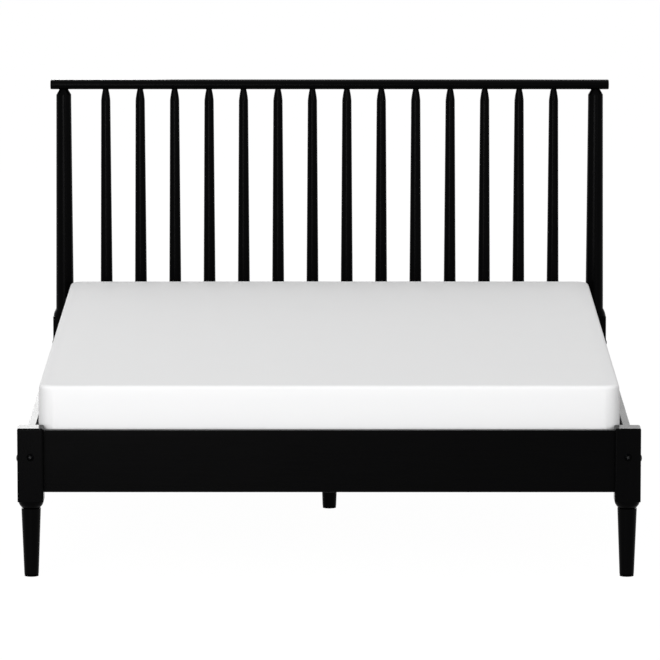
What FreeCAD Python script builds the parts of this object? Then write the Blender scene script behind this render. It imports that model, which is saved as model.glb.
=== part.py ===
import FreeCAD, Part
import math
import os
import re
import Sketcher

# A wooden spindle bed with its mattress. Millimetres, +Z up, the foot end towards -Y and the
# head end towards +Y. The origin is on the floor, under the middle of the bed. "Left" and
# "right" are as seen from the foot end.

doc = FreeCAD.newDocument("SpindleBed")
sheet = doc.addObject("Spreadsheet::Sheet", "Sizes")

# Driving sizes: name, value, what it measures.
sizes = [
    ("mattress_width", 1524, "mattress, side to side"),
    ("mattress_length", 2032, "mattress, head to foot"),
    ("mattress_thickness", 203, "mattress, bottom to top"),
    ("mattress_edge", 11, "radius of the mattress's top and bottom edges"),
    ("side_gap", 7, "mattress to a side rail"),
    ("head_gap", 5, "mattress to the head rail"),
    ("corner_gap", 1.3, "mattress corner to the rounded edge of a post"),
    ("seat_gap", 0.3, "mattress above the slats"),
    ("mattress_recess", 90, "top of the slats below the top of the rails"),
    ("post_size", 68, "square block of a post, across its faces"),
    ("post_edge", 5, "radius of the block's upright edges"),
    ("block_foot_edge", 1.5, "radius round the block's lower end"),
    ("foot_post_rise", 8, "foot post above the rails"),
    ("foot_post_edge", 4.5, "radius round the foot post's top"),
    ("head_block_rise", 7.5, "head post's block above the rails"),
    ("head_block_edge", 1, "radius round the head post's block, at its top"),
    ("rail_thickness", 21, "side rail and foot rail"),
    ("head_rail_thickness", 38, "lower head rail, which holds the spindles"),
    ("rail_height", 164, "height of the rails' boards"),
    ("rail_clearance", 223, "floor to the rails"),
    ("rail_edge", 2.2, "radius of the rails' long edges"),
    ("leg_height", 180, "floor to the ledge under the shoulder"),
    ("leg_top_dia", 51, "leg at the ledge"),
    ("leg_foot_dia", 38, "leg at its lower end"),
    ("shoulder_drop", 20, "height of the turned shoulder"),
    ("shoulder_step", 0.7, "shoulder inside the block's faces"),
    ("shoulder_neck_dia", 41.4, "shoulder where it meets the ledge"),
    ("shoulder_radius", 24.9, "roundness of the shoulder"),
    ("glide_thickness", 6, "pad under a leg"),
    ("glide_dia", 37, "pad under a leg, across"),
    ("flare_step", 0.5, "flare inside the block's faces"),
    ("flare_height", 20, "flare above the head post's block"),
    ("flare_radius", 55, "roundness of the flare"),
    ("turning_base_dia", 52.2, "round post above the flare"),
    ("turning_top_dia", 43.7, "round post below its cone"),
    ("turning_cone", 15.5, "height of the cone under the crest rail"),
    ("turning_tip_dia", 25.5, "round post at the crest rail"),
    ("headboard_height", 1091, "floor to the top of the crest rail"),
    ("crest_thickness", 28, "crest rail, bottom to top"),
    ("crest_depth", 40, "crest rail, front to back"),
    ("crest_overhang", 38.5, "crest rail beyond the axis of a head post"),
    ("crest_end_edge", 3, "radius round the crest rail's ends"),
    ("post_tenon_dia", 20, "round tenon on top of a head post"),
    ("top_tenon", 16, "length of the tenons in the crest rail"),
    ("tenon_end_gap", 1, "hole deeper than its tenon"),
    ("spindle_count", 14, "number of spindles"),
    ("spindle_end_gap", 123, "axis of an end spindle to the axis of its head post"),
    ("spindle_base_dia", 36.5, "spindle on the head rail"),
    ("spindle_neck_dia", 27.2, "spindle below its nose"),
    ("spindle_tip_dia", 16.8, "spindle at the crest rail"),
    ("spindle_nose", 33, "height of the rounded nose"),
    ("spindle_nose_radius", 220, "roundness of the nose"),
    ("spindle_tenon_dia", 14, "round tenons of a spindle"),
    ("spindle_foot_tenon", 25, "length of a spindle's lower tenon"),
    ("slat_count", 13, "number of slats"),
    ("slat_width", 70, "slat, along the bed"),
    ("slat_thickness", 18, "slat, bottom to top"),
    ("slat_edge", 2, "radius of a slat's long edges"),
    ("slat_end_gap", 3, "slat to a side rail"),
    ("slat_row_gap", 11, "first and last slat clear of the posts"),
    ("cleat_width", 25, "strip that carries the slats, across the bed"),
    ("cleat_height", 30, "strip that carries the slats, bottom to top"),
    ("cleat_end_gap", 25, "strip to a post"),
    ("cleat_screw_count", 8, "number of screws in one strip"),
    ("beam_width", 60, "centre beam, side to side"),
    ("beam_height", 50, "centre beam, bottom to top"),
    ("beam_end_gap", 1, "centre beam to the back of its hanger"),
    ("beam_screw_offset", 15, "slat screw beside the middle of the beam"),
    ("hanger_thickness", 2.5, "steel of a beam hanger"),
    ("hanger_reach", 45, "hanger's seat, along the beam"),
    ("hanger_height", 40, "hanger, bottom to top"),
    ("hanger_flange", 25, "hanger's ear beside its seat"),
    ("hanger_side_gap", 0.5, "hanger's cheek to the beam"),
    ("hanger_screw_edge", 10, "hanger's screws to its top and bottom"),
    ("bolt_dia", 6, "frame bolt"),
    ("bolt_hole_dia", 6.6, "clearance hole of a frame bolt"),
    ("bolt_head_dia", 14, "bolt head"),
    ("bolt_head_height", 4, "bolt head"),
    ("bolt_key", 4, "hexagon socket, across flats"),
    ("bolt_key_depth", 2.5, "hexagon socket"),
    ("bolt_tail", 7, "bolt beyond the middle of its nut"),
    ("bolt_drop", 71.5, "middle of the bolt pair below the rails' top"),
    ("bolt_stagger", 7, "side rail bolt above the cross rail bolt"),
    ("counterbore_dia", 16, "recess for a bolt head"),
    ("counterbore_depth", 7, "recess for a bolt head"),
    ("cap_dia", 20, "cap over a bolt head"),
    ("cap_dome", 4, "cap proud of the post"),
    ("cap_rim", 1, "straight edge of the cap"),
    ("cap_plug", 2.6, "part of the cap inside the recess"),
    ("nut_dia", 10, "barrel nut"),
    ("nut_length", 14, "barrel nut"),
    ("nut_inset", 30, "barrel nut from the end of its rail"),
    ("dowel_dia", 10, "dowel"),
    ("dowel_length", 40, "dowel"),
    ("dowel_chamfer", 1, "dowel's ends"),
    ("dowel_inset", 28, "dowels from the top and bottom of a rail"),
    ("dowel_end_gap", 0.5, "dowel hole deeper than half its dowel"),
    ("screw_dia", 4, "wood screw"),
    ("screw_head_dia", 8, "wood screw's countersunk head"),
    ("screw_head_height", 2.6, "wood screw's countersunk head"),
    ("screw_point", 5, "wood screw's point"),
    ("screw_gap", 0.2, "all round a screw in the piece it holds"),
    ("slat_screw", 35, "screw through a slat"),
    ("cleat_screw", 38, "screw through a strip"),
    ("hanger_screw", 16, "screw through a hanger"),
    ("glide_screw", 16, "screw through a pad"),
    ("glide_recess", 2, "screw head inside a pad"),
    ("leg_bolt_dia", 8, "stud that joins the centre leg to the beam"),
    ("leg_bolt_half", 30, "half the length of that stud"),
    ("leg_bolt_chamfer", 1, "that stud's ends"),
    ("insert_dia", 12, "threaded insert"),
    ("insert_length", 20, "threaded insert"),
    ("leveller_bore_dia", 9, "bore above the levelling insert"),
    ("leveller_length", 35, "levelling stud with its flange"),
    ("leveller_flange_dia", 13, "flange held in the levelling pad"),
    ("leveller_flange", 2.5, "thickness of that flange"),
    ("leveller_floor", 2, "levelling pad under the flange"),
    ("leveller_neck_gap", 0.3, "levelling pad round the stud"),
    ("leveller_travel", 12, "how far the levelling pad screws down"),
    ("fit_gap", 0.1, "a close fit, on the diameter"),
    ("cut_margin", 1, "a hole starts this far outside its face"),
]

for row, (name, number, note) in enumerate(sizes, start=1):
    sheet.set(f"A{row}", note)
    sheet.set(f"B{row}", str(number))
    sheet.setAlias(f"B{row}", name)
doc.recompute()
aliases = {name for name, number, note in sizes}

# Levels, faces and centre lines worked out from the driving sizes.
layout = {
    "rail_top": "rail_clearance + rail_height",
    "block_bottom": "leg_height + shoulder_drop",
    "side_face_x": "mattress_width / 2 + side_gap",
    "head_face_y": "mattress_length / 2 + head_gap",
    "post_x": "side_face_x + rail_thickness / 2",
    "post_y": "head_face_y + head_rail_thickness / 2",
    "foot_face_y": "post_y - rail_thickness / 2",
    "post_inner_x": "post_x - post_size / 2",
    "post_inner_y": "post_y - post_size / 2",
    "post_outer_x": "post_x + post_size / 2",
    "post_outer_y": "post_y + post_size / 2",
    "crest_underside": "headboard_height - crest_thickness",
    "spindle_pitch": "2 * (post_x - spindle_end_gap) / (spindle_count - 1)",
    "deck_top": "rail_top - mattress_recess",
    "slat_underside": "deck_top - slat_thickness",
    "slat_end_x": "side_face_x - slat_end_gap",
    "slat_pitch": "(2 * (post_inner_y - slat_row_gap) - slat_width) / (slat_count - 1)",
    "slat_screw_x": "side_face_x - cleat_width / 2",
    "cleat_inner_x": "side_face_x - cleat_width",
    "cleat_underside": "slat_underside - cleat_height",
    "cleat_screw_pitch": "slat_pitch * 3 / 2",
    "beam_underside": "slat_underside - beam_height",
    "hanger_underside": "beam_underside - hanger_thickness",
    "hanger_cheek_x": "beam_width / 2 + hanger_side_gap",
    "hanger_screw_x": "hanger_cheek_x + hanger_thickness + hanger_flange / 2",
    "bolt_level": "rail_top - bolt_drop",
    "side_bolt_level": "bolt_level + bolt_stagger / 2",
    "cross_bolt_level": "bolt_level - bolt_stagger / 2",
    "low_dowel_level": "rail_clearance + dowel_inset",
    "high_dowel_level": "rail_top - dowel_inset",
    "bolt_seat": "counterbore_depth - bolt_head_height",
    "shank_length": "post_size - counterbore_depth + nut_inset + bolt_tail",
    "bolt_end_gap": "tenon_end_gap",
    "cap_rise": "cap_dome - cap_rim",
    "cap_dome_radius": "((cap_dia / 2) ^ 2 + cap_rise ^ 2) / (2 * cap_rise)",
    "leveller_flange_play": "fit_gap / 2",
    "corner_reach_x": "mattress_width / 2 - post_inner_x - post_edge",
    "corner_reach_y": "mattress_length / 2 - post_inner_y - post_edge",
    "corner_reach": "corner_reach_x + corner_reach_y + post_edge + corner_gap",
    "corner_rest": "corner_reach_x ^ 2 + corner_reach_y ^ 2 - (post_edge + corner_gap) ^ 2",
    # The radius whose arc passes the post's rounded edge at the corner gap.
    "mattress_corner": "corner_reach + sqrt(corner_reach ^ 2 - corner_rest)",
}

left, right = -1, 1
foot, head = -1, 1
side_names = {left: "left", right: "right"}
end_names = {foot: "foot", head: "head"}

Vector = FreeCAD.Vector
Rotation = FreeCAD.Rotation

# Turns that lay the local Z axis along a direction.
lies = {
    "+x": Rotation(Vector(0, 1, 0), 90),
    "-x": Rotation(Vector(0, 1, 0), -90),
    "+y": Rotation(Vector(1, 0, 0), -90),
    "-y": Rotation(Vector(1, 0, 0), 90),
    "+z": Rotation(),
    "-z": Rotation(Vector(1, 0, 0), 180),
}

# Turns of a barrel nut: its length along X with its hole along Y, or the other way about.
nut_across = {"y": Rotation(Vector(1, 1, 1), 120), "x": lies["+y"]}

nodes = []
corners = {}


# A formula in the words above, written out with the spreadsheet's aliases.
def expand(formula):
    def word(match):
        name = match.group(0)
        if name in layout:
            return "(" + expand(layout[name]) + ")"
        return "Sizes." + name if name in aliases else name

    return re.sub(r"[a-z][a-z_]*", word, str(formula))


def value(formula):
    return float(sheet.evalExpression(expand(formula)))


def bind(thing, prop, formula):
    thing.setExpression(prop, expand(formula))


def count(name):
    return int(round(value(name)))


# The places of a row of copies, evenly spaced about the middle.
def row_of(number, pitch):
    return [f"({place} - {(number - 1) / 2}) * {pitch}" for place in range(number)]


# Two distances from the middle as a low and a high coordinate on one side of it.
def span(side, inner, outer):
    return (inner, outer) if side > 0 else (f"-({outer})", f"-({inner})")


# A stretch that reaches as far on both sides of the middle.
def span_of(half):
    return (f"-({half})", half)


# The direction from one side of the bed towards its middle.
def inward(side, axis):
    return ("-" if side > 0 else "+") + axis


def lay(thing, at, turn=Rotation()):
    thing.Placement = FreeCAD.Placement(Vector(), turn)
    for letter, formula in zip("xyz", at):
        bind(thing, "Placement.Base." + letter, formula)


def new_body(name, at):
    body = doc.addObject("PartDesign::Body", name.title().replace("_", ""))
    body.Label = name
    lay(body, at)
    corners[body.Name] = at
    return body


# A point of the bed in the body's own frame.
def local(body, at):
    return [f"({place}) - ({corner})" for place, corner in zip(at, corners[body.Name])]


def block(body, low, high):
    box = body.newObject("PartDesign::AdditiveBox", "Block")
    lay(box, local(body, low))
    for prop, near, far in zip(("Length", "Width", "Height"), low, high):
        bind(box, prop, f"({far}) - ({near})")


def board(name, across, along, upright):
    low, high = zip(across, along, upright)
    body = new_body(name, low)
    block(body, low, high)
    return body


# The start of a hole, a margin outside the face at the given point.
def outside(body, at, along):
    start = local(body, at)
    back = "-" if along[0] == "+" else "+"
    start["xyz".index(along[1])] += f" {back} cut_margin"
    return start


def drill(body, at, along, diameter, depth):
    hole = body.newObject("PartDesign::SubtractiveCylinder", "Hole")
    lay(hole, outside(body, at, along), lies[along])
    bind(hole, "Radius", f"({diameter}) / 2")
    bind(hole, "Height", f"({depth}) + cut_margin")


# A clearance hole right through a piece, with a countersink for the screw's head.
def screw_hole(body, at, along, depth):
    drill(body, at, along, "screw_dia + 2 * screw_gap", f"({depth}) + cut_margin")
    sink = body.newObject("PartDesign::SubtractiveCone", "Countersink")
    lay(sink, local(body, at), lies[along])
    bind(sink, "Radius1", "screw_head_dia / 2 + screw_gap")
    bind(sink, "Radius2", "screw_dia / 2 + screw_gap")
    bind(sink, "Height", "screw_head_height")


# Where the screw's own thread bites.
def pilot_hole(body, at, along, depth):
    drill(body, at, along, "screw_dia + fit_gap", depth)


def origin_plane(body, role):
    return [plane for plane in body.Origin.OriginFeatures if plane.Role == role][0]


# An arc from one point to the next that bulges to the right of the way between them.
def arc_between(first, last, radius):
    half = (last - first) * 0.5
    across = Vector(-half.y, half.x, 0).normalize()
    centre = (first + last) * 0.5 + across * math.sqrt(radius ** 2 - half.Length ** 2)
    angles = [math.atan2(point.y - centre.y, point.x - centre.x) for point in (first, last)]
    return Part.ArcOfCircle(Part.Circle(centre, Vector(0, 0, 1), radius), *angles)


# A closed outline, traced anticlockwise. A point's third item is the radius of the arc that
# leads on from it, and every corner is held to the origin by the formulas of its place.
def outline(body, role, points):
    sketch = body.newObject("Sketcher::SketchObject", "Outline")
    sketch.AttachmentSupport = [(origin_plane(body, role), "")]
    sketch.MapMode = "FlatFace"
    places = [Vector(value(point[0]), value(point[1]), 0) for point in points]
    for number, point in enumerate(points):
        ends = places[number], places[(number + 1) % len(points)]
        if len(point) == 3:
            sketch.addGeometry(arc_between(*ends, value(point[2])), False)
        else:
            sketch.addGeometry(Part.LineSegment(*ends), False)
    for number, point in enumerate(points):
        following = (number + 1) % len(points)
        sketch.addConstraint(Sketcher.Constraint("Coincident", number, 2, following, 1))
        for kind, axis, formula in (("DistanceX", -2, point[0]), ("DistanceY", -1, point[1])):
            if formula == "0":
                sketch.addConstraint(Sketcher.Constraint("PointOnObject", number, 1, axis))
                continue
            rule = Sketcher.Constraint(kind, -1, 1, number, 1, value(formula))
            bind(sketch, f"Constraints[{sketch.addConstraint(rule)}]", formula)
        if len(point) == 3:
            rule = Sketcher.Constraint("Radius", number, value(point[2]))
            bind(sketch, f"Constraints[{sketch.addConstraint(rule)}]", point[2])
    return sketch


# A solid of revolution about the body's own Z axis, from (radius, level) points.
def turned(body, points):
    turning = body.newObject("PartDesign::Revolution", "Turning")
    turning.Profile = outline(body, "XZ_Plane", points)
    turning.ReferenceAxis = (turning.Profile[0], ["V_Axis"])
    turning.Angle = 360


def soften(body, radius, chosen):
    doc.recompute()
    base = body.Tip
    picked = [f"Edge{number}" for number, edge in enumerate(base.Shape.Edges, 1) if chosen(edge)]
    fillet = body.newObject("PartDesign::Fillet", "Rounding")
    fillet.Base = (base, picked)
    bind(fillet, "Radius", radius)


# Edges that run straight along one axis.
def running(axis):
    def chosen(edge):
        box = edge.BoundBox
        lengths = {"x": box.XLength, "y": box.YLength, "z": box.ZLength}
        long = lengths.pop(axis)
        return long > 1e-3 and max(lengths.values()) < 1e-3

    return chosen


# Edges that lie at one level.
def at_level(formula):
    level = value(formula)

    def chosen(edge):
        return max(abs(edge.BoundBox.ZMin - level), abs(edge.BoundBox.ZMax - level)) < 1e-3

    return chosen


def keep(thing):
    nodes.append(thing)


# Identical solids in one node: the pattern piece, linked at each place.
def group(name, pattern, copies):
    links = []
    for at, turn in copies:
        link = doc.addObject("App::Link", pattern.Name + "Copy")
        link.LinkedObject = pattern
        lay(link, at, turn)
        links.append(link)
    compound = doc.addObject("Part::Compound", name.title().replace("_", ""))
    compound.Label = name
    compound.Links = links
    keep(compound)


# ---- Fastener places ----

# Each rail end meets a post: the face it butts against, and the levels of what joins them.
def side_joint(side, end):
    return {
        "face": [f"{side} * post_x", f"{end} * post_inner_y"],
        "axis": "y",
        "towards_middle": inward(end, "y"),
        "towards_post": inward(-end, "y"),
        "bolt": "side_bolt_level",
        "outer": [f"{side} * post_x", f"{end} * post_outer_y"],
    }


def cross_joint(side, end):
    return {
        "face": [f"{side} * post_inner_x", f"{end} * post_y"],
        "axis": "x",
        "towards_middle": inward(side, "x"),
        "towards_post": inward(-side, "x"),
        "bolt": "cross_bolt_level",
        "outer": [f"{side} * post_outer_x", f"{end} * post_y"],
    }


joints = [kind(side, end) for kind in (side_joint, cross_joint)
          for side in (left, right) for end in (foot, head)]

slat_rows = row_of(count("slat_count"), "slat_pitch")
slat_screw_xs = ["-slat_screw_x", "beam_screw_offset", "slat_screw_x"]
hanger_screw_levels = [
    "hanger_underside + hanger_screw_edge",
    "hanger_underside + hanger_height - hanger_screw_edge",
]


# A point moved along a signed direction.
def moved(at, along, distance):
    place = list(at)
    place["xyz".index(along[1])] += f" {along[0]} ({distance})"
    return place


def dowel_holes(body, joint, along):
    for level in ("low_dowel_level", "high_dowel_level"):
        at = joint["face"] + [level]
        drill(body, at, along, "dowel_dia + fit_gap", "dowel_length / 2 + dowel_end_gap")


# ---- Posts ----

def leg_outline():
    return [
        ("0", "glide_thickness"),
        ("leg_foot_dia / 2", "glide_thickness"),
        ("leg_top_dia / 2", "leg_height"),
        ("shoulder_neck_dia / 2", "leg_height", "shoulder_radius"),
        ("post_size / 2 - shoulder_step", "block_bottom"),
    ]


def head_turning_outline():
    block_top = "rail_top + head_block_rise"
    return [
        ("post_size / 2 - flare_step", block_top, "flare_radius"),
        ("turning_base_dia / 2", f"{block_top} + flare_height"),
        ("turning_top_dia / 2", "crest_underside - turning_cone"),
        ("turning_tip_dia / 2", "crest_underside"),
        ("post_tenon_dia / 2", "crest_underside"),
        ("post_tenon_dia / 2", "crest_underside + top_tenon"),
        ("0", "crest_underside + top_tenon"),
    ]


# Inside the block the turning goes on to the middle of the rails.
def foot_turning_outline():
    return [
        ("post_size / 2 - shoulder_step", "bolt_level"),
        ("0", "bolt_level"),
    ]


def post(side, end):
    axis = [f"{side} * post_x", f"{end} * post_y"]
    body = new_body(f"{end_names[end]}_post_{side_names[side]}", axis + ["0"])
    rise, edge = ("head_block_rise", "head_block_edge") if end == head else \
        ("foot_post_rise", "foot_post_edge")
    top = f"rail_top + {rise}"
    low = [f"{centre} - post_size / 2" for centre in axis]
    high = [f"{centre} + post_size / 2" for centre in axis]
    block(body, low + ["block_bottom"], high + [top])
    soften(body, "post_edge", running("z"))
    soften(body, edge, at_level(top))
    soften(body, "block_foot_edge", at_level("block_bottom"))
    turned(body, leg_outline() + (head_turning_outline() if end == head else foot_turning_outline()))
    for joint in (side_joint(side, end), cross_joint(side, end)):
        at = joint["outer"] + [joint["bolt"]]
        drill(body, at, joint["towards_middle"], "bolt_hole_dia", "post_size + cut_margin")
        drill(body, at, joint["towards_middle"], "counterbore_dia", "counterbore_depth")
        dowel_holes(body, joint, joint["towards_post"])
    pilot_hole(body, axis + ["glide_thickness"], "+z", "glide_screw")
    keep(body)


# ---- Rails ----

# What joins the end of a rail to its post: a bolt, the barrel nut that it meets, and dowels.
def rail_end(body, joint, nut_face, nut_depth):
    along = joint["towards_middle"]
    drill(body, joint["face"] + [joint["bolt"]], along, "bolt_hole_dia",
          "nut_inset + bolt_tail + bolt_end_gap")
    nut_at = moved(joint["face"] + [joint["bolt"]], along, "nut_inset")
    across = "x" if joint["axis"] == "y" else "y"
    nut_at["xyz".index(across)] = nut_face[0]
    drill(body, nut_at, nut_face[1], "nut_dia + fit_gap", nut_depth)
    dowel_holes(body, joint, along)


def side_rail(side):
    across = span(side, "side_face_x", "side_face_x + rail_thickness")
    body = board(f"side_rail_{side_names[side]}", across, span_of("post_inner_y"),
                 ("rail_clearance", "rail_top"))
    soften(body, "rail_edge", running("y"))
    for end in (foot, head):
        rail_end(body, side_joint(side, end), (f"{side} * side_face_x", inward(-side, "x")),
                 "rail_thickness / 2 + nut_length / 2")
    for at in row_of(count("cleat_screw_count"), "cleat_screw_pitch"):
        pilot_hole(body, [f"{side} * side_face_x", at, "cleat_underside + cleat_height / 2"],
                   inward(-side, "x"), "cleat_screw - cleat_width")
    keep(body)


def cross_rail_holes(body, end, inner_face, nut_depth):
    soften(body, "rail_edge", running("x"))
    for side in (left, right):
        rail_end(body, cross_joint(side, end), (f"{end} * {inner_face}", inward(-end, "y")),
                 nut_depth)
        for level in hanger_screw_levels:
            at = [f"{side} * hanger_screw_x", f"{end} * {inner_face}", level]
            pilot_hole(body, at, inward(-end, "y"), "hanger_screw - hanger_thickness")
    keep(body)


def foot_rail():
    along = ("-post_y - rail_thickness / 2", "-post_y + rail_thickness / 2")
    body = board("foot_rail", span_of("post_inner_x"), along, ("rail_clearance", "rail_top"))
    cross_rail_holes(body, foot, "foot_face_y", "rail_thickness / 2 + nut_length / 2")


def head_rail():
    along = ("post_y - head_rail_thickness / 2", "post_y + head_rail_thickness / 2")
    body = board("head_cross_rail", span_of("post_inner_x"), along, ("rail_clearance", "rail_top"))
    cross_rail_holes(body, head, "head_face_y", "head_rail_thickness / 2 + nut_length / 2")
    for at in row_of(count("spindle_count"), "spindle_pitch"):
        drill(body, [at, "post_y", "rail_top"], "-z", "spindle_tenon_dia + fit_gap",
              "spindle_foot_tenon + tenon_end_gap")


def crest_rail():
    body = new_body("crest_rail", ["0", "post_y - crest_depth / 2", "crest_underside"])
    nose = "crest_thickness / 2"
    section = outline(body, "YZ_Plane", [
        (nose, "0"),
        (f"crest_depth - {nose}", "0", nose),
        ("crest_depth", nose, nose),
        (f"crest_depth - {nose}", "crest_thickness"),
        (nose, "crest_thickness", nose),
        ("0", nose, nose),
    ])
    pad = body.newObject("PartDesign::Pad", "Board")
    pad.Profile = section
    pad.SideType = "Symmetric"
    bind(pad, "Length", "2 * (post_x + crest_overhang)")
    soften(body, "crest_end_edge", lambda edge: edge.BoundBox.XLength < 1e-3)
    for at in row_of(count("spindle_count"), "spindle_pitch"):
        drill(body, [at, "post_y", "crest_underside"], "+z", "spindle_tenon_dia + fit_gap",
              "top_tenon + tenon_end_gap")
    for side in (left, right):
        drill(body, [f"{side} * post_x", "post_y", "crest_underside"], "+z",
              "post_tenon_dia + fit_gap", "top_tenon + tenon_end_gap")
    keep(body)


# ---- Spindles ----

def spindle(number, at):
    body = new_body(f"spindle_{number:02d}", [at, "post_y", "0"])
    turned(body, [
        ("0", "rail_top - spindle_foot_tenon"),
        ("spindle_tenon_dia / 2", "rail_top - spindle_foot_tenon"),
        ("spindle_tenon_dia / 2", "rail_top"),
        ("spindle_base_dia / 2", "rail_top"),
        ("spindle_neck_dia / 2", "crest_underside - spindle_nose", "spindle_nose_radius"),
        ("spindle_tip_dia / 2", "crest_underside"),
        ("spindle_tenon_dia / 2", "crest_underside"),
        ("spindle_tenon_dia / 2", "crest_underside + top_tenon"),
        ("0", "crest_underside + top_tenon"),
    ])
    keep(body)


# ---- Deck ----

def slat(number, at):
    body = board(f"slat_{number:02d}", span_of("slat_end_x"),
                 (f"{at} - slat_width / 2", f"{at} + slat_width / 2"),
                 ("slat_underside", "deck_top"))
    soften(body, "slat_edge", running("x"))
    for x in slat_screw_xs:
        screw_hole(body, [x, at, "deck_top"], "-z", "slat_thickness")
    keep(body)


def side_cleat(side):
    body = board(f"side_cleat_{side_names[side]}", span(side, "cleat_inner_x", "side_face_x"),
                 span_of("post_inner_y - cleat_end_gap"), ("cleat_underside", "slat_underside"))
    for at in row_of(count("cleat_screw_count"), "cleat_screw_pitch"):
        screw_hole(body, [f"{side} * cleat_inner_x", at, "cleat_underside + cleat_height / 2"],
                   inward(-side, "x"), "cleat_width")
    for at in slat_rows:
        pilot_hole(body, [f"{side} * slat_screw_x", at, "slat_underside"], "-z",
                   "slat_screw - slat_thickness")
    keep(body)


def centre_beam():
    body = board("centre_beam", span_of("beam_width / 2"),
                 ("-foot_face_y + hanger_thickness + beam_end_gap",
                  "head_face_y - hanger_thickness - beam_end_gap"),
                 ("beam_underside", "slat_underside"))
    for at in slat_rows:
        pilot_hole(body, ["beam_screw_offset", at, "slat_underside"], "-z",
                   "slat_screw - slat_thickness")
    drill(body, ["0", "0", "beam_underside"], "+z", "insert_dia + fit_gap", "insert_length")
    drill(body, ["0", "0", "beam_underside"], "+z", "leg_bolt_dia + fit_gap",
          "leg_bolt_half + tenon_end_gap")
    keep(body)


# A steel shoe for one end of the beam: a back plate with ears, a seat and two cheeks.
def beam_hanger(end, face):
    levels = ("hanger_underside", "hanger_underside + hanger_height")
    outer = "hanger_cheek_x + hanger_thickness"
    plate = span(end, f"{face} - hanger_thickness", face)
    reach = span(end, f"{face} - hanger_reach", face)
    body = board(f"beam_hanger_{end_names[end]}", span_of(f"{outer} + hanger_flange"), plate, levels)
    seat = span_of(outer), reach, ("hanger_underside", "beam_underside")
    block(body, *zip(*seat))
    for side in (left, right):
        cheek = span(side, "hanger_cheek_x", outer), reach, levels
        block(body, *zip(*cheek))
        for level in hanger_screw_levels:
            at = [f"{side} * hanger_screw_x", f"{end} * ({face} - hanger_thickness)", level]
            drill(body, at, inward(-end, "y"), "screw_dia + 2 * screw_gap",
                  "hanger_thickness + cut_margin")
    keep(body)


def mattress():
    bottom = "deck_top + seat_gap"
    top = f"{bottom} + mattress_thickness"
    body = board("mattress", span_of("mattress_width / 2"), span_of("mattress_length / 2"),
                 (bottom, top))
    soften(body, "mattress_corner", running("z"))
    soften(body, "mattress_edge", at_level("0"))
    soften(body, "mattress_edge", at_level("mattress_thickness"))
    keep(body)


# ---- Centre leg and its levelling foot ----

def centre_leg():
    body = new_body("centre_leg", ["0", "0", "0"])
    slope = "(leg_top_dia - leg_foot_dia) / (leg_height - glide_thickness)"
    top_dia = f"leg_foot_dia + {slope} * (beam_underside - glide_thickness)"
    turned(body, [
        ("0", "glide_thickness"),
        ("leg_foot_dia / 2", "glide_thickness"),
        (f"({top_dia}) / 2", "beam_underside"),
        ("0", "beam_underside"),
    ])
    drill(body, ["0", "0", "beam_underside"], "-z", "leg_bolt_dia + fit_gap",
          "leg_bolt_half + tenon_end_gap")
    drill(body, ["0", "0", "glide_thickness"], "+z", "insert_dia + fit_gap", "insert_length")
    drill(body, ["0", "0", "glide_thickness"], "+z", "leveller_bore_dia",
          "leveller_length + tenon_end_gap")
    keep(body)


def rod(name, level, length):
    body = new_body(name, ["0", "0", level])
    half, bevel = "leg_bolt_dia / 2", "leg_bolt_chamfer"
    turned(body, [("0", "0"), (f"{half} - {bevel}", "0"), (half, bevel),
                  (half, f"{length} - {bevel}"), (f"{half} - {bevel}", length), ("0", length)])
    keep(body)


def insert(name, level):
    body = new_body(name, ["0", "0", level])
    turned(body, [("0", "0"), ("insert_dia / 2", "0"), ("insert_dia / 2", "insert_length"),
                  ("0", "insert_length")])
    drill(body, ["0", "0", level], "+z", "leg_bolt_dia + fit_gap", "insert_length + cut_margin")
    keep(body)


def leveller_stud():
    body = new_body("leveller_stud", ["0", "0", "leveller_floor + leveller_flange_play"])
    turned(body, [
        ("0", "0"),
        ("leveller_flange_dia / 2", "0"),
        ("leveller_flange_dia / 2", "leveller_flange"),
        ("leg_bolt_dia / 2", "leveller_flange"),
        ("leg_bolt_dia / 2", "leveller_length"),
        ("0", "leveller_length"),
    ])
    keep(body)


# The pad is moulded round the stud's flange, which turns in it.
def leveller_pad():
    body = new_body("leveller_pad", ["0", "0", "0"])
    cavity_top = "leveller_floor + leveller_flange + 2 * leveller_flange_play"
    turned(body, [
        ("0", "0"),
        ("glide_dia / 2", "0"),
        ("glide_dia / 2", "glide_thickness"),
        ("leg_bolt_dia / 2 + leveller_neck_gap", "glide_thickness"),
        ("leg_bolt_dia / 2 + leveller_neck_gap", cavity_top),
        ("leveller_flange_dia / 2 + fit_gap", cavity_top),
        ("leveller_flange_dia / 2 + fit_gap", "leveller_floor"),
        ("0", "leveller_floor"),
    ])
    keep(body)


# ---- Fasteners ----

def pattern_piece(name, points):
    body = new_body(name, ["0", "0", "0"])
    turned(body, points)
    return body


def screw(name, length):
    return pattern_piece(name, [
        ("0", "0"),
        ("screw_head_dia / 2", "0"),
        ("screw_dia / 2", "screw_head_height"),
        ("screw_dia / 2", f"{length} - screw_point"),
        ("0", length),
    ])


def frame_bolt():
    body = pattern_piece("frame_bolt", [
        ("0", "0"),
        ("bolt_head_dia / 2", "0"),
        ("bolt_head_dia / 2", "bolt_head_height"),
        ("bolt_dia / 2", "bolt_head_height"),
        ("bolt_dia / 2", "bolt_head_height + shank_length"),
        ("0", "bolt_head_height + shank_length"),
    ])
    socket = body.newObject("PartDesign::SubtractivePrism", "Socket")
    socket.Polygon = 6
    bind(socket, "Circumradius", "bolt_key / sqrt(3)")
    bind(socket, "Height", "bolt_key_depth")
    return body


# A point on the cap's dome, which is part of a ball.
def dome_point(reach):
    drop = f"cap_dome_radius - sqrt(cap_dome_radius ^ 2 - ({reach}) ^ 2)"
    return (reach, f"cap_plug + cap_dome - ({drop})", "cap_dome_radius")


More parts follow.
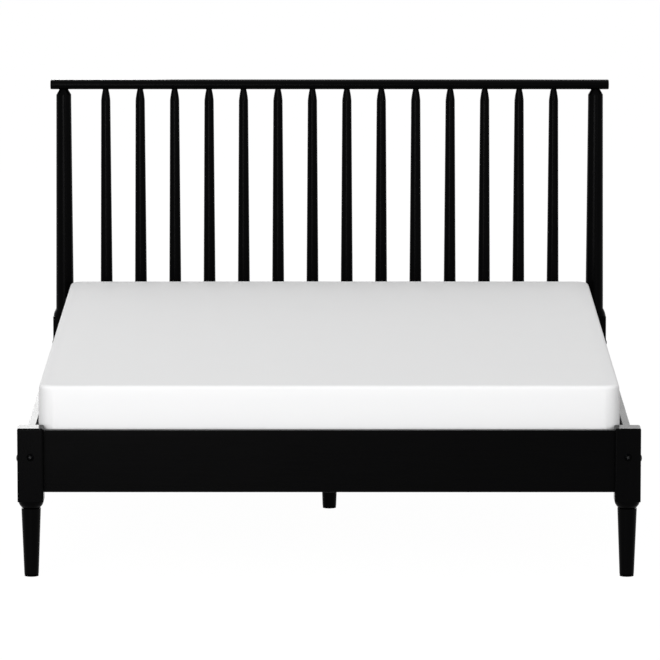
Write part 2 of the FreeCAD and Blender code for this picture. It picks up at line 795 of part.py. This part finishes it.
def bolt_cap():
    return pattern_piece("bolt_cap", [
        ("0", "0"),
        ("(counterbore_dia - fit_gap) / 2", "0"),
        ("(counterbore_dia - fit_gap) / 2", "cap_plug"),
        ("cap_dia / 2", "cap_plug"),
        dome_point("cap_dia / 2"),
        dome_point("cap_dia / 3"),
        dome_point("cap_dia / 6"),
        ("0", "cap_plug + cap_dome"),
    ])


def barrel_nut():
    body = new_body("barrel_nut", ["0", "0", "0"])
    barrel = body.newObject("PartDesign::AdditiveCylinder", "Barrel")
    lay(barrel, ["0", "0", "-nut_length / 2"])
    bind(barrel, "Radius", "nut_dia / 2")
    bind(barrel, "Height", "nut_length")
    drill(body, ["-nut_dia / 2", "0", "0"], "+x", "bolt_dia + fit_gap", "nut_dia + cut_margin")
    return body


def dowel():
    half, bevel = "dowel_dia / 2", "dowel_chamfer"
    return pattern_piece("dowel", [
        ("0", "0"), (f"{half} - {bevel}", "0"), (half, bevel),
        (half, f"dowel_length - {bevel}"), (f"{half} - {bevel}", "dowel_length"),
        ("0", "dowel_length"),
    ])


def post_glide():
    hole, sunk = "screw_dia / 2 + screw_gap", "screw_head_dia / 2 + screw_gap"
    return pattern_piece("post_glide", [
        (sunk, "0"),
        ("glide_dia / 2", "0"),
        ("glide_dia / 2", "glide_thickness"),
        (hole, "glide_thickness"),
        (hole, "glide_recess + screw_head_height"),
        (sunk, "glide_recess"),
    ])


def bolt_groups():
    bolt = frame_bolt()
    cap = bolt_cap()
    nut = barrel_nut()
    bolts = {"y": [], "x": []}
    caps = []
    nuts = []
    for joint in joints:
        face = joint["outer"] + [joint["bolt"]]
        inwards, outwards = joint["towards_middle"], joint["towards_post"]
        bolts[joint["axis"]].append((moved(face, inwards, "bolt_seat"), lies[inwards]))
        caps.append((moved(face, inwards, "cap_plug"), lies[outwards]))
        nut_at = moved(joint["face"] + [joint["bolt"]], inwards, "nut_inset")
        nuts.append((nut_at, nut_across[joint["axis"]]))
    group("side_rail_bolts", bolt, bolts["y"])
    group("cross_rail_bolts", bolt, bolts["x"])
    group("bolt_caps", cap, caps)
    group("barrel_nuts", nut, nuts)


def dowel_group():
    places = []
    for joint in joints:
        for level in ("low_dowel_level", "high_dowel_level"):
            start = moved(joint["face"] + [level], joint["towards_post"], "dowel_length / 2")
            places.append((start, lies[joint["towards_middle"]]))
    group("rail_dowels", dowel(), places)


def slat_screw_group():
    places = [([x, at, "deck_top"], lies["-z"]) for at in slat_rows for x in slat_screw_xs]
    group("slat_screws", screw("slat_screw", "slat_screw"), places)


def cleat_screw_group():
    places = []
    for side in (left, right):
        for at in row_of(count("cleat_screw_count"), "cleat_screw_pitch"):
            start = [f"{side} * cleat_inner_x", at, "cleat_underside + cleat_height / 2"]
            places.append((start, lies[inward(-side, "x")]))
    group("cleat_screws", screw("cleat_screw", "cleat_screw"), places)


# A hanger's steel is too thin for a countersink, so these have flat round heads on it.
def hanger_screw_group():
    pattern = pattern_piece("hanger_screw", [
        ("0", "0"),
        ("screw_head_dia / 2", "0"),
        ("screw_head_dia / 2", "screw_head_height"),
        ("screw_dia / 2", "screw_head_height"),
        ("screw_dia / 2", "screw_head_height + hanger_screw - screw_point"),
        ("0", "screw_head_height + hanger_screw"),
    ])
    places = []
    for end, face in ((foot, "foot_face_y"), (head, "head_face_y")):
        for side in (left, right):
            for level in hanger_screw_levels:
                at = [f"{side} * hanger_screw_x", f"{end} * ({face} - hanger_thickness)", level]
                start = moved(at, inward(end, "y"), "screw_head_height")
                places.append((start, lies[inward(-end, "y")]))
    group("hanger_screws", pattern, places)


def glide_groups():
    feet = [[f"{side} * post_x", f"{end} * post_y"] for side in (left, right)
            for end in (foot, head)]
    group("post_glides", post_glide(), [(at + ["0"], lies["+z"]) for at in feet])
    group("glide_screws", screw("glide_screw", "glide_screw"),
          [(at + ["glide_recess"], lies["+z"]) for at in feet])


# ---- The bed ----

for end in (head, foot):
    for side in (left, right):
        post(side, end)
crest_rail()
head_rail()
for number, at in enumerate(row_of(count("spindle_count"), "spindle_pitch"), start=1):
    spindle(number, at)
foot_rail()
for side in (left, right):
    side_rail(side)
    side_cleat(side)
centre_beam()
beam_hanger(head, "head_face_y")
beam_hanger(foot, "foot_face_y")
centre_leg()
rod("centre_leg_bolt", "beam_underside - leg_bolt_half", "2 * leg_bolt_half")
insert("beam_insert", "beam_underside")
insert("leveller_insert", "glide_thickness")
leveller_stud()
leveller_pad()
for number, at in enumerate(slat_rows, start=1):
    slat(number, at)
mattress()
bolt_groups()
dowel_group()
slat_screw_group()
cleat_screw_group()
hanger_screw_group()
glide_groups()

doc.recompute()
faults = [thing.Label for thing in doc.Objects
          if "Invalid" in thing.State or "Error" in thing.State]
faults += [node.Label for node in nodes if node.Shape.isNull() or not node.Shape.isValid()]
if faults:
    raise RuntimeError("these did not build: " + ", ".join(faults))

os.makedirs("parts", exist_ok=True)
for node in nodes:
    node.Shape.exportStep(f"parts/{node.Label}.step")
print(len(nodes), "nodes", sum(len(node.Shape.Solids) for node in nodes), "solids")
print("mattress corner radius", round(value("mattress_corner"), 2))
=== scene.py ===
import math

import bpy
from mathutils import Euler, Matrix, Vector


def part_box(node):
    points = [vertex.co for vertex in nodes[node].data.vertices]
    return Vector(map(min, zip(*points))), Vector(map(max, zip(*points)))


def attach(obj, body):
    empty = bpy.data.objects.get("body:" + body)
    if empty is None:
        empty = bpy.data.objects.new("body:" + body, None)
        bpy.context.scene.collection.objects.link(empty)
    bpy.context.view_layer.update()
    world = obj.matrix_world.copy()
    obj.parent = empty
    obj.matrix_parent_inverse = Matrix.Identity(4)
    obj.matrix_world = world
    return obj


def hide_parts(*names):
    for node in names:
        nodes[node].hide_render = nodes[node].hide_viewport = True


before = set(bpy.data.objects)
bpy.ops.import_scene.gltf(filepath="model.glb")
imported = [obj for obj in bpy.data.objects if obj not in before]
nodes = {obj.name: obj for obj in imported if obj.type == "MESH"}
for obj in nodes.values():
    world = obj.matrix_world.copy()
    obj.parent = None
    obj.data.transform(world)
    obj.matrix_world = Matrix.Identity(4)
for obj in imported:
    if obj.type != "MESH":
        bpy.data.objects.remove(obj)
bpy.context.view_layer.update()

print("frame loaded:", len(nodes), "pieces of the bed")


def deselectAll():
    if bpy.context.object and bpy.context.object.mode != "OBJECT":
        bpy.ops.object.mode_set(mode="OBJECT")
    bpy.ops.object.select_all(action="DESELECT")


def makeActive(piece):
    deselectAll()
    piece.select_set(True)
    bpy.context.view_layer.objects.active = piece


def selectEdges(piece, chosen):
    # Picks edges in edit mode by a test on their two ends.
    bpy.ops.object.mode_set(mode="EDIT")
    bpy.ops.mesh.select_mode(type="EDGE")
    bpy.ops.mesh.select_all(action="DESELECT")
    bpy.ops.object.mode_set(mode="OBJECT")
    points = piece.data.vertices
    for edge in piece.data.edges:
        edge.select = chosen(*(points[end].co for end in edge.vertices))
    bpy.ops.object.mode_set(mode="EDIT")


def link(tree, start, end):
    tree.links.new(start, end)


def feed(tree, value, socket):
    # Sets a socket to a plain value, or links another node's output to it.
    if isinstance(value, bpy.types.NodeSocket):
        link(tree, value, socket)
    else:
        socket.default_value = value


def feedAll(tree, node, values):
    for name, value in values.items():
        feed(tree, value, node.inputs[name])


def addNode(tree, kind, values=None, **settings):
    node = tree.nodes.new(kind)
    for name, value in settings.items():
        setattr(node, name, value)
    feedAll(tree, node, values or {})
    return node


def newGroup(name, inputs, outputs):
    group = bpy.data.node_groups.new(name, "ShaderNodeTree")
    for label, kind in inputs.items():
        group.interface.new_socket(label, in_out="INPUT", socket_type=kind)
    for label, kind in outputs.items():
        group.interface.new_socket(label, in_out="OUTPUT", socket_type=kind)
    return group, addNode(group, "NodeGroupInput").outputs, addNode(group, "NodeGroupOutput").inputs


def newMaterial(name):
    material = bpy.data.materials.new(name)
    material.use_nodes = True
    return material, material.node_tree, material.node_tree.nodes["Principled BSDF"]


def mathNode(tree, operation, first, second):
    return addNode(tree, "ShaderNodeMath", {0: first, 1: second}, operation=operation).outputs[0]


def rangeNode(tree, value, limits):
    # Spreads one range over another. Either is 0 to 1 where no limit is given.
    return addNode(tree, "ShaderNodeMapRange", {"Value": value, **limits}).outputs["Result"]


def opaque(colour):
    return (*colour, 1)


mixSockets = {"first": 6, "second": 7, "result": 2}  # the colour sockets of a Mix node


def mixColour(tree, factor, first, second):
    values = {"Factor": factor, mixSockets["first"]: first, mixSockets["second"]: second}
    return addNode(tree, "ShaderNodeMix", values, data_type="RGBA").outputs[mixSockets["result"]]


def stretched(tree, vector, scale):
    return addNode(tree, "ShaderNodeMapping", {"Vector": vector, "Scale": scale}).outputs[0]


def noiseNode(tree, vector, scale, values):
    return addNode(tree, "ShaderNodeTexNoise", {"Vector": vector, "Scale": scale, **values}).outputs["Fac"]


grain = {
    "ringStretch": (0.12, 1.0, 1.0),    # rings run on along the piece
    "fibreStretch": (0.03, 1.0, 1.0),   # and fibres still further
    "ringNoise": {"Detail": 2.0, "Roughness": 0.45, "Distortion": 0.4},
    "fibreNoise": {"Detail": 3.0, "Roughness": 0.6},
    "folds": 9.0,                       # how often the broad noise folds into rings
}


def makeGrainGroup():
    # Wood that grows along X: broad growth rings and fine fibres.
    group, given, result = newGroup("woodGrain", {
        "vector": "NodeSocketVector", "ringScale": "NodeSocketFloat", "fibreScale": "NodeSocketFloat",
    }, {"rings": "NodeSocketFloat", "fibres": "NodeSocketFloat"})
    broad = stretched(group, given["vector"], grain["ringStretch"])
    growth = noiseNode(group, broad, given["ringScale"], grain["ringNoise"])
    layers = mathNode(group, "MULTIPLY", growth, grain["folds"])
    link(group, mathNode(group, "PINGPONG", layers, 1.0), result["rings"])
    fine = stretched(group, given["vector"], grain["fibreStretch"])
    link(group, noiseNode(group, fine, given["fibreScale"], grain["fibreNoise"]), result["fibres"])
    return group


handling = {
    "noise": {"Detail": 4.0, "Roughness": 0.55, "Distortion": 0.2},
    "spread": {"From Min": 0.3, "From Max": 0.7},  # where most of the noise lies
}


def makeHandlingGroup():
    # Faint cloudy marks that handling and cleaning leave on a smooth finish.
    group, given, result = newGroup("handlingMarks", {
        "vector": "NodeSocketVector", "scale": "NodeSocketFloat",
        "low": "NodeSocketFloat", "high": "NodeSocketFloat",
    }, {"marks": "NodeSocketFloat"})
    clouds = noiseNode(group, given["vector"], given["scale"], handling["noise"])
    marks = rangeNode(group, clouds, {**handling["spread"], "To Min": given["low"], "To Max": given["high"]})
    link(group, marks, result["marks"])
    return group


grainGroup = makeGrainGroup()
handlingGroup = makeHandlingGroup()

grainTurns = {  # turns that bring a piece's long axis to X
    "X": (0, 0, 0),
    "Y": (0, 0, math.radians(-90)),
    "Z": (0, math.radians(90), 0),
}


def placeGroup(tree, group, **values):
    node = addNode(tree, "ShaderNodeGroup", node_tree=group)
    feedAll(tree, node, values)
    return node.outputs


def marksOn(tree, vector, finish):
    # Roughness that varies with the handling marks between a finish's two limits.
    low, high = finish["roughness"]
    return placeGroup(tree, handlingGroup, vector=vector, scale=finish["marksScale"],
                      low=low, high=high)["marks"]


def alongGrain(tree, axis):
    place = addNode(tree, "ShaderNodeTexCoord").outputs["Object"]
    return addNode(tree, "ShaderNodeMapping", {"Vector": place, "Rotation": grainTurns[axis]}).outputs[0]


def bumpNode(tree, height, distance, strength=1.0, under=None):
    values = {"Height": height, "Strength": strength, "Distance": distance}
    if under is not None:
        values["Normal"] = under
    return addNode(tree, "ShaderNodeBump", values).outputs["Normal"]


paint = {
    "thin": (0.0014, 0.0014, 0.0015),   # colour over raised fibres
    "thick": (0.0006, 0.0006, 0.0007),  # colour where the paint pools
    "specular": 0.022,
    "roughness": (0.222, 0.248),
    "marksScale": 5.0,
    "fibreScale": 220.0,
    "grainDepth": 0.00005,
    "peelScale": 900.0,     # brush peel on top of the fibres
    "peelNoise": {"Detail": 1.0},
    "peelDepth": 0.00001,
}


def makePaint(axis):
    material, tree, shader = newMaterial("blackSatinPaint" + axis)
    vector = alongGrain(tree, axis)
    fibres = placeGroup(tree, grainGroup, vector=vector, fibreScale=paint["fibreScale"])["fibres"]
    raised = bumpNode(tree, fibres, paint["grainDepth"])
    peel = noiseNode(tree, vector, paint["peelScale"], paint["peelNoise"])
    feedAll(tree, shader, {
        "Base Color": mixColour(tree, fibres, opaque(paint["thick"]), opaque(paint["thin"])),
        "Roughness": marksOn(tree, vector, paint),
        "Specular IOR Level": paint["specular"],
        "Normal": bumpNode(tree, peel, paint["peelDepth"], under=raised),
    })
    return material


softwood = {
    "early": (0.66, 0.47, 0.28),
    "late": (0.42, 0.25, 0.12),
    "roughness": (0.5, 0.68),
    "marksScale": 9.0,
    "specular": 0.3,
    "ringScale": 6.0,
    "fibreScale": 140.0,
    "ringSharpness": 2.5,   # narrow dark rings between broad light ones
    "ringShare": 0.7,       # how far the rings darken the wood
    "fibreShare": 0.3,
    "grainDepth": 0.00012,
}


def makeSoftwood(axis):
    material, tree, shader = newMaterial("bareSoftwood" + axis)
    vector = alongGrain(tree, axis)
    wood = placeGroup(tree, grainGroup, vector=vector, ringScale=softwood["ringScale"],
                      fibreScale=softwood["fibreScale"])
    rings = mathNode(tree, "POWER", wood["rings"], softwood["ringSharpness"])
    tone = mathNode(tree, "ADD", mathNode(tree, "MULTIPLY", rings, softwood["ringShare"]),
                    mathNode(tree, "MULTIPLY", wood["fibres"], softwood["fibreShare"]))
    feedAll(tree, shader, {
        "Base Color": mixColour(tree, tone, opaque(softwood["early"]), opaque(softwood["late"])),
        "Roughness": marksOn(tree, vector, softwood),
        "Specular IOR Level": softwood["specular"],
        "Normal": bumpNode(tree, wood["fibres"], softwood["grainDepth"]),
    })
    return material


steel = {
    "bright": (0.62, 0.62, 0.6),
    "dull": (0.42, 0.43, 0.44),
    "spangleScale": 320.0,    # grains of the zinc
    "roughness": (0.28, 0.5),
    "marksScale": 40.0,
}


def makeSteel():
    material, tree, shader = newMaterial("zincPlatedSteel")
    vector = alongGrain(tree, "X")
    spangle = addNode(tree, "ShaderNodeTexVoronoi", {"Vector": vector, "Scale": steel["spangleScale"]})
    feedAll(tree, shader, {
        "Base Color": mixColour(tree, spangle.outputs["Distance"], opaque(steel["bright"]),
                                opaque(steel["dull"])),
        "Roughness": marksOn(tree, vector, steel),
        "Metallic": 1.0,
    })
    return material


plastic = {
    "colour": (0.0002, 0.0002, 0.0003),
    "worn": (0.0005, 0.0005, 0.0006),
    "crownHighlight": (0.03, 0.03, 0.031),    # a painted highlight on the crown of a cap, standing in for the front lamp's reflection
    # how squarely the painted highlight's part of the cap faces outwards, from where the highlight starts to
    # where it is full
    "crownHighlightRange": {"From Min": 0.983, "From Max": 0.999},
    "roughness": (0.16, 0.22),
    "marksScale": 30.0,
    "specular": 0.012,
    "sparkScale": 1400.0,     # texture that the spark-eroded mould leaves
    "sparkNoise": {"Detail": 2.0},
    "sparkDepth": 0.00001,
}


def crownHighlightMask(tree):
    # 1 on the crown of a cap on an upright face, and 0 on its rim: the mask of the painted highlight.
    normal = addNode(tree, "ShaderNodeTexCoord").outputs["Normal"]
    facing = addNode(tree, "ShaderNodeSeparateXYZ", {0: normal}).outputs
    squareness = mathNode(tree, "MAXIMUM", mathNode(tree, "ABSOLUTE", facing["X"], 0.0),
                          mathNode(tree, "ABSOLUTE", facing["Y"], 0.0))
    return rangeNode(tree, squareness, plastic["crownHighlightRange"])


def makePlastic(name, isCap):
    material, tree, shader = newMaterial(name)
    vector = alongGrain(tree, "X")
    texture = noiseNode(tree, vector, plastic["sparkScale"], plastic["sparkNoise"])
    colour = mixColour(tree, texture, opaque(plastic["colour"]), opaque(plastic["worn"]))
    if isCap:
        # Paints a highlight onto the crown of each cap, where its dome faces squarely outwards.
        colour = mixColour(tree, crownHighlightMask(tree), colour, opaque(plastic["crownHighlight"]))
    feedAll(tree, shader, {
        "Base Color": colour,
        "Roughness": marksOn(tree, vector, plastic),
        "Specular IOR Level": plastic["specular"],
        "Normal": bumpNode(tree, texture, plastic["sparkDepth"]),
    })
    return material


cover = {
    "light": (0.9, 0.9, 0.9),
    "shade": (0.86, 0.86, 0.865),
    "roughness": 0.85,
    "specular": 0.15,
    "sheen": 0.08,
    "stitch": 0.0022,      # one loop of the knit
    "bands": 3.14,         # about how many bands the wave texture has in one unit
    "yarn": {"Distortion": 0.6, "Detail": 1.0, "Detail Scale": 2.0},
    "knitShare": 0.25,     # brings the crossed bands back to 0 to 1
    "knitDepth": 0.00025,
    "knitStrength": 0.6,
    "creaseScale": 5.0,
    "creaseNoise": {"Detail": 3.0, "Roughness": 0.45},
    "creaseDepth": 0.0012,
    "creaseStrength": 0.5,
}


def makeCover():
    material, tree, shader = newMaterial("whiteKnittedCover")
    place = addNode(tree, "ShaderNodeTexCoord").outputs["Object"]
    bands = []
    for direction in ("X", "Y", "Z"):
        values = {"Vector": place, "Scale": 1 / (cover["stitch"] * cover["bands"]), **cover["yarn"]}
        wave = addNode(tree, "ShaderNodeTexWave", values, wave_type="BANDS", bands_direction=direction)
        bands.append(wave.outputs["Fac"])
    knit = mathNode(tree, "MULTIPLY", mathNode(tree, "ADD", bands[0], bands[2]),
                    mathNode(tree, "ADD", bands[1], bands[2]))
    knit = mathNode(tree, "MULTIPLY", knit, cover["knitShare"])
    slack = noiseNode(tree, place, cover["creaseScale"], cover["creaseNoise"])
    creases = bumpNode(tree, slack, cover["creaseDepth"], cover["creaseStrength"])
    feedAll(tree, shader, {
        "Base Color": mixColour(tree, knit, opaque(cover["shade"]), opaque(cover["light"])),
        "Roughness": cover["roughness"],
        "Specular IOR Level": cover["specular"],
        "Sheen Weight": cover["sheen"],
        "Normal": bumpNode(tree, knit, cover["knitDepth"], cover["knitStrength"], creases),
    })
    return material


def dress(names, material):
    for name in names:
        slots = nodes[name].data.materials
        slots.clear()
        slots.append(material)


def named(*starts):
    return [name for name in nodes if name.startswith(starts)]


dress(named("crest_rail", "head_cross_rail", "foot_rail"), makePaint("X"))
dress(named("side_rail_left", "side_rail_right"), makePaint("Y"))
dress(named("head_post", "foot_post", "spindle", "centre_leg"), makePaint("Z"))
dress(named("slat_0", "slat_1", "rail_dowels"), makeSoftwood("X"))
dress(named("side_cleat", "centre_beam"), makeSoftwood("Y"))
dress(named("side_rail_bolts", "cross_rail_bolts", "barrel_nuts", "cleat_screws", "slat_screws",
            "hanger_screws", "glide_screws", "centre_leg_bolt", "beam_insert", "leveller_insert",
            "leveller_stud", "beam_hanger"), makeSteel())
dress(named("post_glides", "leveller_pad"), makePlastic("mouldedBlackPlastic", False))
# The caps carry a painted highlight on their crowns.
dress(named("bolt_caps"), makePlastic("capPlasticPaintedHighlight", True))
print("finishes given to the frame")


mattress = {
    "corner": 0.04286,       # upright corners
    "cornerSegments": 10,
    "edge": 0.011,           # top and bottom edges
    "edgeSegments": 4,
    "cell": 0.04,            # spacing of the cuts that let the cover move
    "swell": 0.0015,         # how far the padding pushes the cover out
    "pressure": 4.0,
    "frames": 20,
    "slack": 0.001,          # shallow unevenness of the cover
    "slackSize": 0.28,
    "slackLevel": 0.6,       # share of the unevenness that lies inwards
    "same": 1e-5,            # heights closer than this are one height
    "topSeam": 0.0001,       # points this close to the flat top stay free, above the held edge
    "stillness": 1e-7,       # a point that moved less hasn't moved
}


def cutInSlices(low, high, cell, normal):
    pieces = math.ceil((high - low) / cell)
    for number in range(1, pieces):
        place = low + (high - low) * number / pieces
        bpy.ops.mesh.select_all(action="SELECT")
        bpy.ops.mesh.bisect(plane_co=Vector(normal) * place, plane_no=normal)


def startCover(low, high):
    # The cover before its padding pushes it out: a block with rounded corners and edges.
    size, middle = high - low, (high + low) / 2
    deselectAll()
    bpy.ops.mesh.primitive_cube_add(size=1, location=middle, scale=size)
    piece = bpy.context.object
    bpy.ops.object.transform_apply(location=True, rotation=True, scale=True)

    def isUpright(a, b):
        return abs(a.z - b.z) > size.z / 2

    def isRim(a, b):
        toFace = min(abs(a.z - low.z), abs(a.z - high.z))
        return abs(a.z - b.z) < mattress["same"] and toFace < mattress["same"]

    selectEdges(piece, isUpright)
    bpy.ops.mesh.bevel(offset=mattress["corner"], segments=mattress["cornerSegments"], affect="EDGES")
    bpy.ops.object.mode_set(mode="OBJECT")
    selectEdges(piece, isRim)
    bpy.ops.mesh.bevel(offset=mattress["edge"], segments=mattress["edgeSegments"], affect="EDGES")
    cutInSlices(low.x, high.x, mattress["cell"], (1, 0, 0))
    cutInSlices(low.y, high.y, mattress["cell"], (0, 1, 0))
    cutInSlices(low.z, high.z, mattress["cell"], (0, 0, 1))
    bpy.ops.object.mode_set(mode="OBJECT")
    return piece


def holdCover(piece, low, high):
    # The underside lies flat on the slats, and the border keeps the top edge in its place.
    edge = mattress["edge"]
    held = [point.index for point in piece.data.vertices
            if point.co.z < low.z + edge or high.z - edge < point.co.z < high.z - mattress["topSeam"]]
    piece.vertex_groups.new(name="held").add(held, 1.0, "REPLACE")


def swellCover(piece):
    # The padding presses the cover outwards, and no point moves further than the swell.
    starts = [point.co.copy() for point in piece.data.vertices]
    cloth = piece.modifiers.new("cover", "CLOTH")
    cloth.settings.vertex_group_mass = "held"
    cloth.settings.use_pressure = True
    cloth.settings.uniform_pressure_force = mattress["pressure"]
    cloth.settings.effector_weights.gravity = 0
    cloth.point_cache.frame_end = mattress["frames"]
    for number in range(1, mattress["frames"] + 1):
        bpy.context.scene.frame_set(number)
    makeActive(piece)
    bpy.ops.object.modifier_apply(modifier="cover")
    bpy.context.scene.frame_set(1)
    reach = mattress["swell"]
    for point, start in zip(piece.data.vertices, starts):
        move = point.co - start
        if move.length > mattress["stillness"]:
            point.co = start + move.normalized() * reach * math.tanh(move.length / reach)


def unevenCover(piece):
    clouds = bpy.data.textures.new("coverSlack", "CLOUDS")
    clouds.noise_scale = mattress["slackSize"]
    slack = piece.modifiers.new("slack", "DISPLACE")
    slack.texture = clouds
    slack.texture_coords = "LOCAL"
    slack.strength = mattress["slack"]
    slack.mid_level = mattress["slackLevel"]
    slack.vertex_group = "held"
    slack.invert_vertex_group = True
    makeActive(piece)
    bpy.ops.object.modifier_apply(modifier="slack")


def makeMattress():
    low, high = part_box("mattress")
    swell = mattress["swell"]
    low, high = low + Vector((swell, swell, 0)), high - Vector((swell, swell, swell))
    piece = startCover(low, high)
    piece.name = "mattress_cover"
    holdCover(piece, low, high)
    swellCover(piece)
    makeActive(piece)
    finer = piece.modifiers.new("finer", "SUBSURF")
    finer.levels = finer.render_levels = 1
    bpy.ops.object.modifier_apply(modifier="finer")
    unevenCover(piece)
    bpy.ops.object.shade_smooth()
    piece.data.materials.append(makeCover())
    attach(piece, "mattress")
    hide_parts("mattress")


makeMattress()
print("mattress made")


studio = {
    "tint": (1.0, 1.0, 1.0),
    "ambient": 0.46,       # the surroundings, as light on things
    "white": 1.0,          # and as the camera and reflections see them
}

floor = {
    "size": 120.0,
    "colour": (0.3, 0.3, 0.3),
    "roughness": 0.9,
    "specular": 0.0,
    "whiteness": 0.87,     # share of plain white that the camera and reflections get
    "white": 1.13,         # strength of that white
}


def seenDirectly(tree):
    # 1 for what the camera, reflections and glass see, 0 for the light that falls on things.
    path = addNode(tree, "ShaderNodeLightPath")
    seen = mathNode(tree, "MAXIMUM", path.outputs["Is Camera Ray"], path.outputs["Is Glossy Ray"])
    return mathNode(tree, "MAXIMUM", seen, path.outputs["Is Transmission Ray"])


def makeFloor():
    deselectAll()
    bpy.ops.mesh.primitive_plane_add(size=floor["size"], location=(0, 0, 0))
    piece = bpy.context.object
    piece.name = "studio_floor"
    material, tree, shader = newMaterial("paleFloor")
    feedAll(tree, shader, {
        "Base Color": opaque(floor["colour"]),
        "Roughness": floor["roughness"],
        "Specular IOR Level": floor["specular"],
    })
    glow = addNode(tree, "ShaderNodeEmission", {
        "Color": opaque(studio["tint"]), "Strength": floor["white"]}).outputs["Emission"]
    share = mathNode(tree, "MULTIPLY", seenDirectly(tree), floor["whiteness"])
    mix = addNode(tree, "ShaderNodeMixShader", {"Fac": share, 1: shader.outputs["BSDF"], 2: glow})
    link(tree, mix.outputs["Shader"], tree.nodes["Material Output"].inputs["Surface"])
    piece.data.materials.append(material)


def makeWorld():
    world = bpy.data.worlds.new("studio")
    world.use_nodes = True
    bpy.context.scene.world = world
    tree = world.node_tree
    limits = {"To Min": studio["ambient"], "To Max": studio["white"]}
    feedAll(tree, tree.nodes["Background"], {
        "Color": opaque(studio["tint"]),
        "Strength": rangeNode(tree, seenDirectly(tree), limits),
    })


lamps = {
    "frontSoftbox": {"at": (-3.2, -8.5, 4.2), "aim": (0, 0, 0.4), "size": (4.0, 3.0), "power": 284},
    "frontFill": {"at": (4.5, -8.0, 2.2), "aim": (0, 0, 0.5), "size": (3.0, 3.0), "power": 148},
    "lowFront": {"at": (-1.5, -6.5, 0.45), "aim": (-0.5, 0, 0.5), "size": (3.0, 0.5), "power": 92},
    "overhead": {"at": (0, 0.6, 5.0), "aim": (0, 0.6, 0), "size": (4.0, 4.0), "power": 45},
    "backRim": {"at": (-3.0, 7.0, 1.5), "aim": (0, 0, 0.4), "size": (5.0, 1.6), "power": 148},
    "backFill": {"at": (2.3, 7.0, 1.5), "aim": (0, 0, 0.4), "size": (3.0, 1.6), "power": 22},
}


def makeLamps():
    for name, values in lamps.items():
        lamp = bpy.data.lights.new(name, "AREA")
        lamp.shape = "RECTANGLE"
        lamp.size, lamp.size_y = values["size"]
        lamp.energy = values["power"]
        holder = bpy.data.objects.new(name, lamp)
        bpy.context.scene.collection.objects.link(holder)
        holder.location = values["at"]
        aim = Vector(values["aim"]) - holder.location
        holder.rotation_euler = aim.to_track_quat("-Z", "Y").to_euler()
        holder.visible_camera = False


view = {
    "at": (0.0113, -16.822, 2.932),
    "pitch": 81.7726,      # degrees from straight down
    "turn": 0.0326,
    "lens": 333.9,
    "sensor": 36.0,
    "reach": 200.0,        # nothing further away is drawn
}


def makeCamera():
    camera = bpy.data.cameras.new("photoView")
    camera.sensor_width = view["sensor"]
    camera.lens = view["lens"]
    camera.clip_end = view["reach"]
    holder = bpy.data.objects.new("photoView", camera)
    bpy.context.scene.collection.objects.link(holder)
    holder.location = view["at"]
    holder.rotation_euler = Euler((math.radians(view["pitch"]), 0, math.radians(view["turn"])))
    bpy.context.scene.camera = holder


makeFloor()
makeWorld()
makeLamps()
makeCamera()
bpy.context.scene.view_settings.view_transform = "Standard"
print("studio ready")
